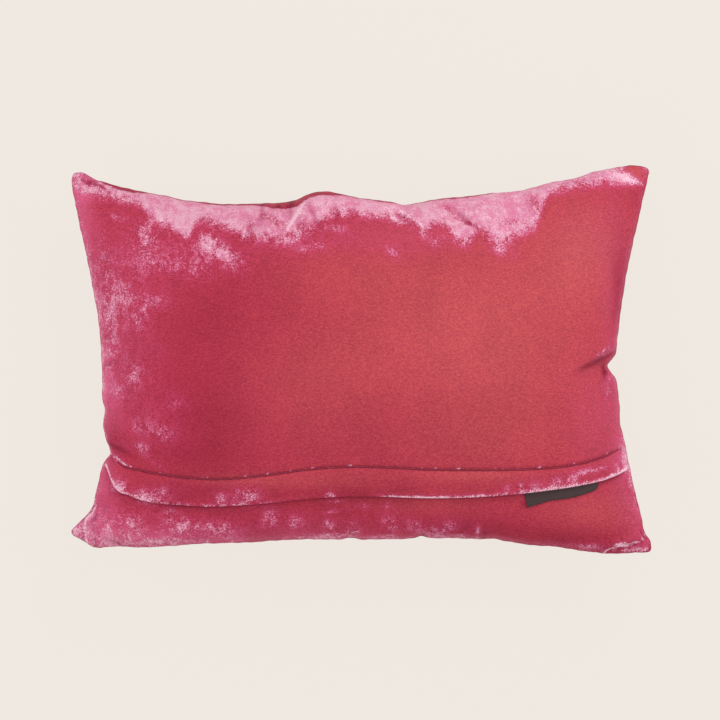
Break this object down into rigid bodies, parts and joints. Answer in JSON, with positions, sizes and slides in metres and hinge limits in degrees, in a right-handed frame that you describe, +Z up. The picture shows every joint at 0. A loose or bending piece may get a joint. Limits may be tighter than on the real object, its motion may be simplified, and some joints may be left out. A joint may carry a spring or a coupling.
{
  "type": "lumbar pillow",
  "caption": "Rectangular knife-edge lumbar pillow in crushed velvet with a hemmed closure flap and a bare woven label.",
  "frame": {"origin": "On the floor under the middle of the pillow's bounding box, with the pillow lying on its face.", "axes": "+X runs along the long side, +Y towards the top edge away from the closure, +Z up out of the closure side."},
  "size_m": [0.5883, 0.3974, 0.1363],
  "materials": {
    "velvet": "short crushed pile with a silky sheen, coral red with magenta sides and pale pink crushed patches",
    "label_ribbon": "fine dark brown woven ribbon, matt"
  },
  "bodies": {
    "root": {"cushion": "velvet", "closure_flap": "velvet", "label": "label_ribbon"}
  },
  "joints": []
}
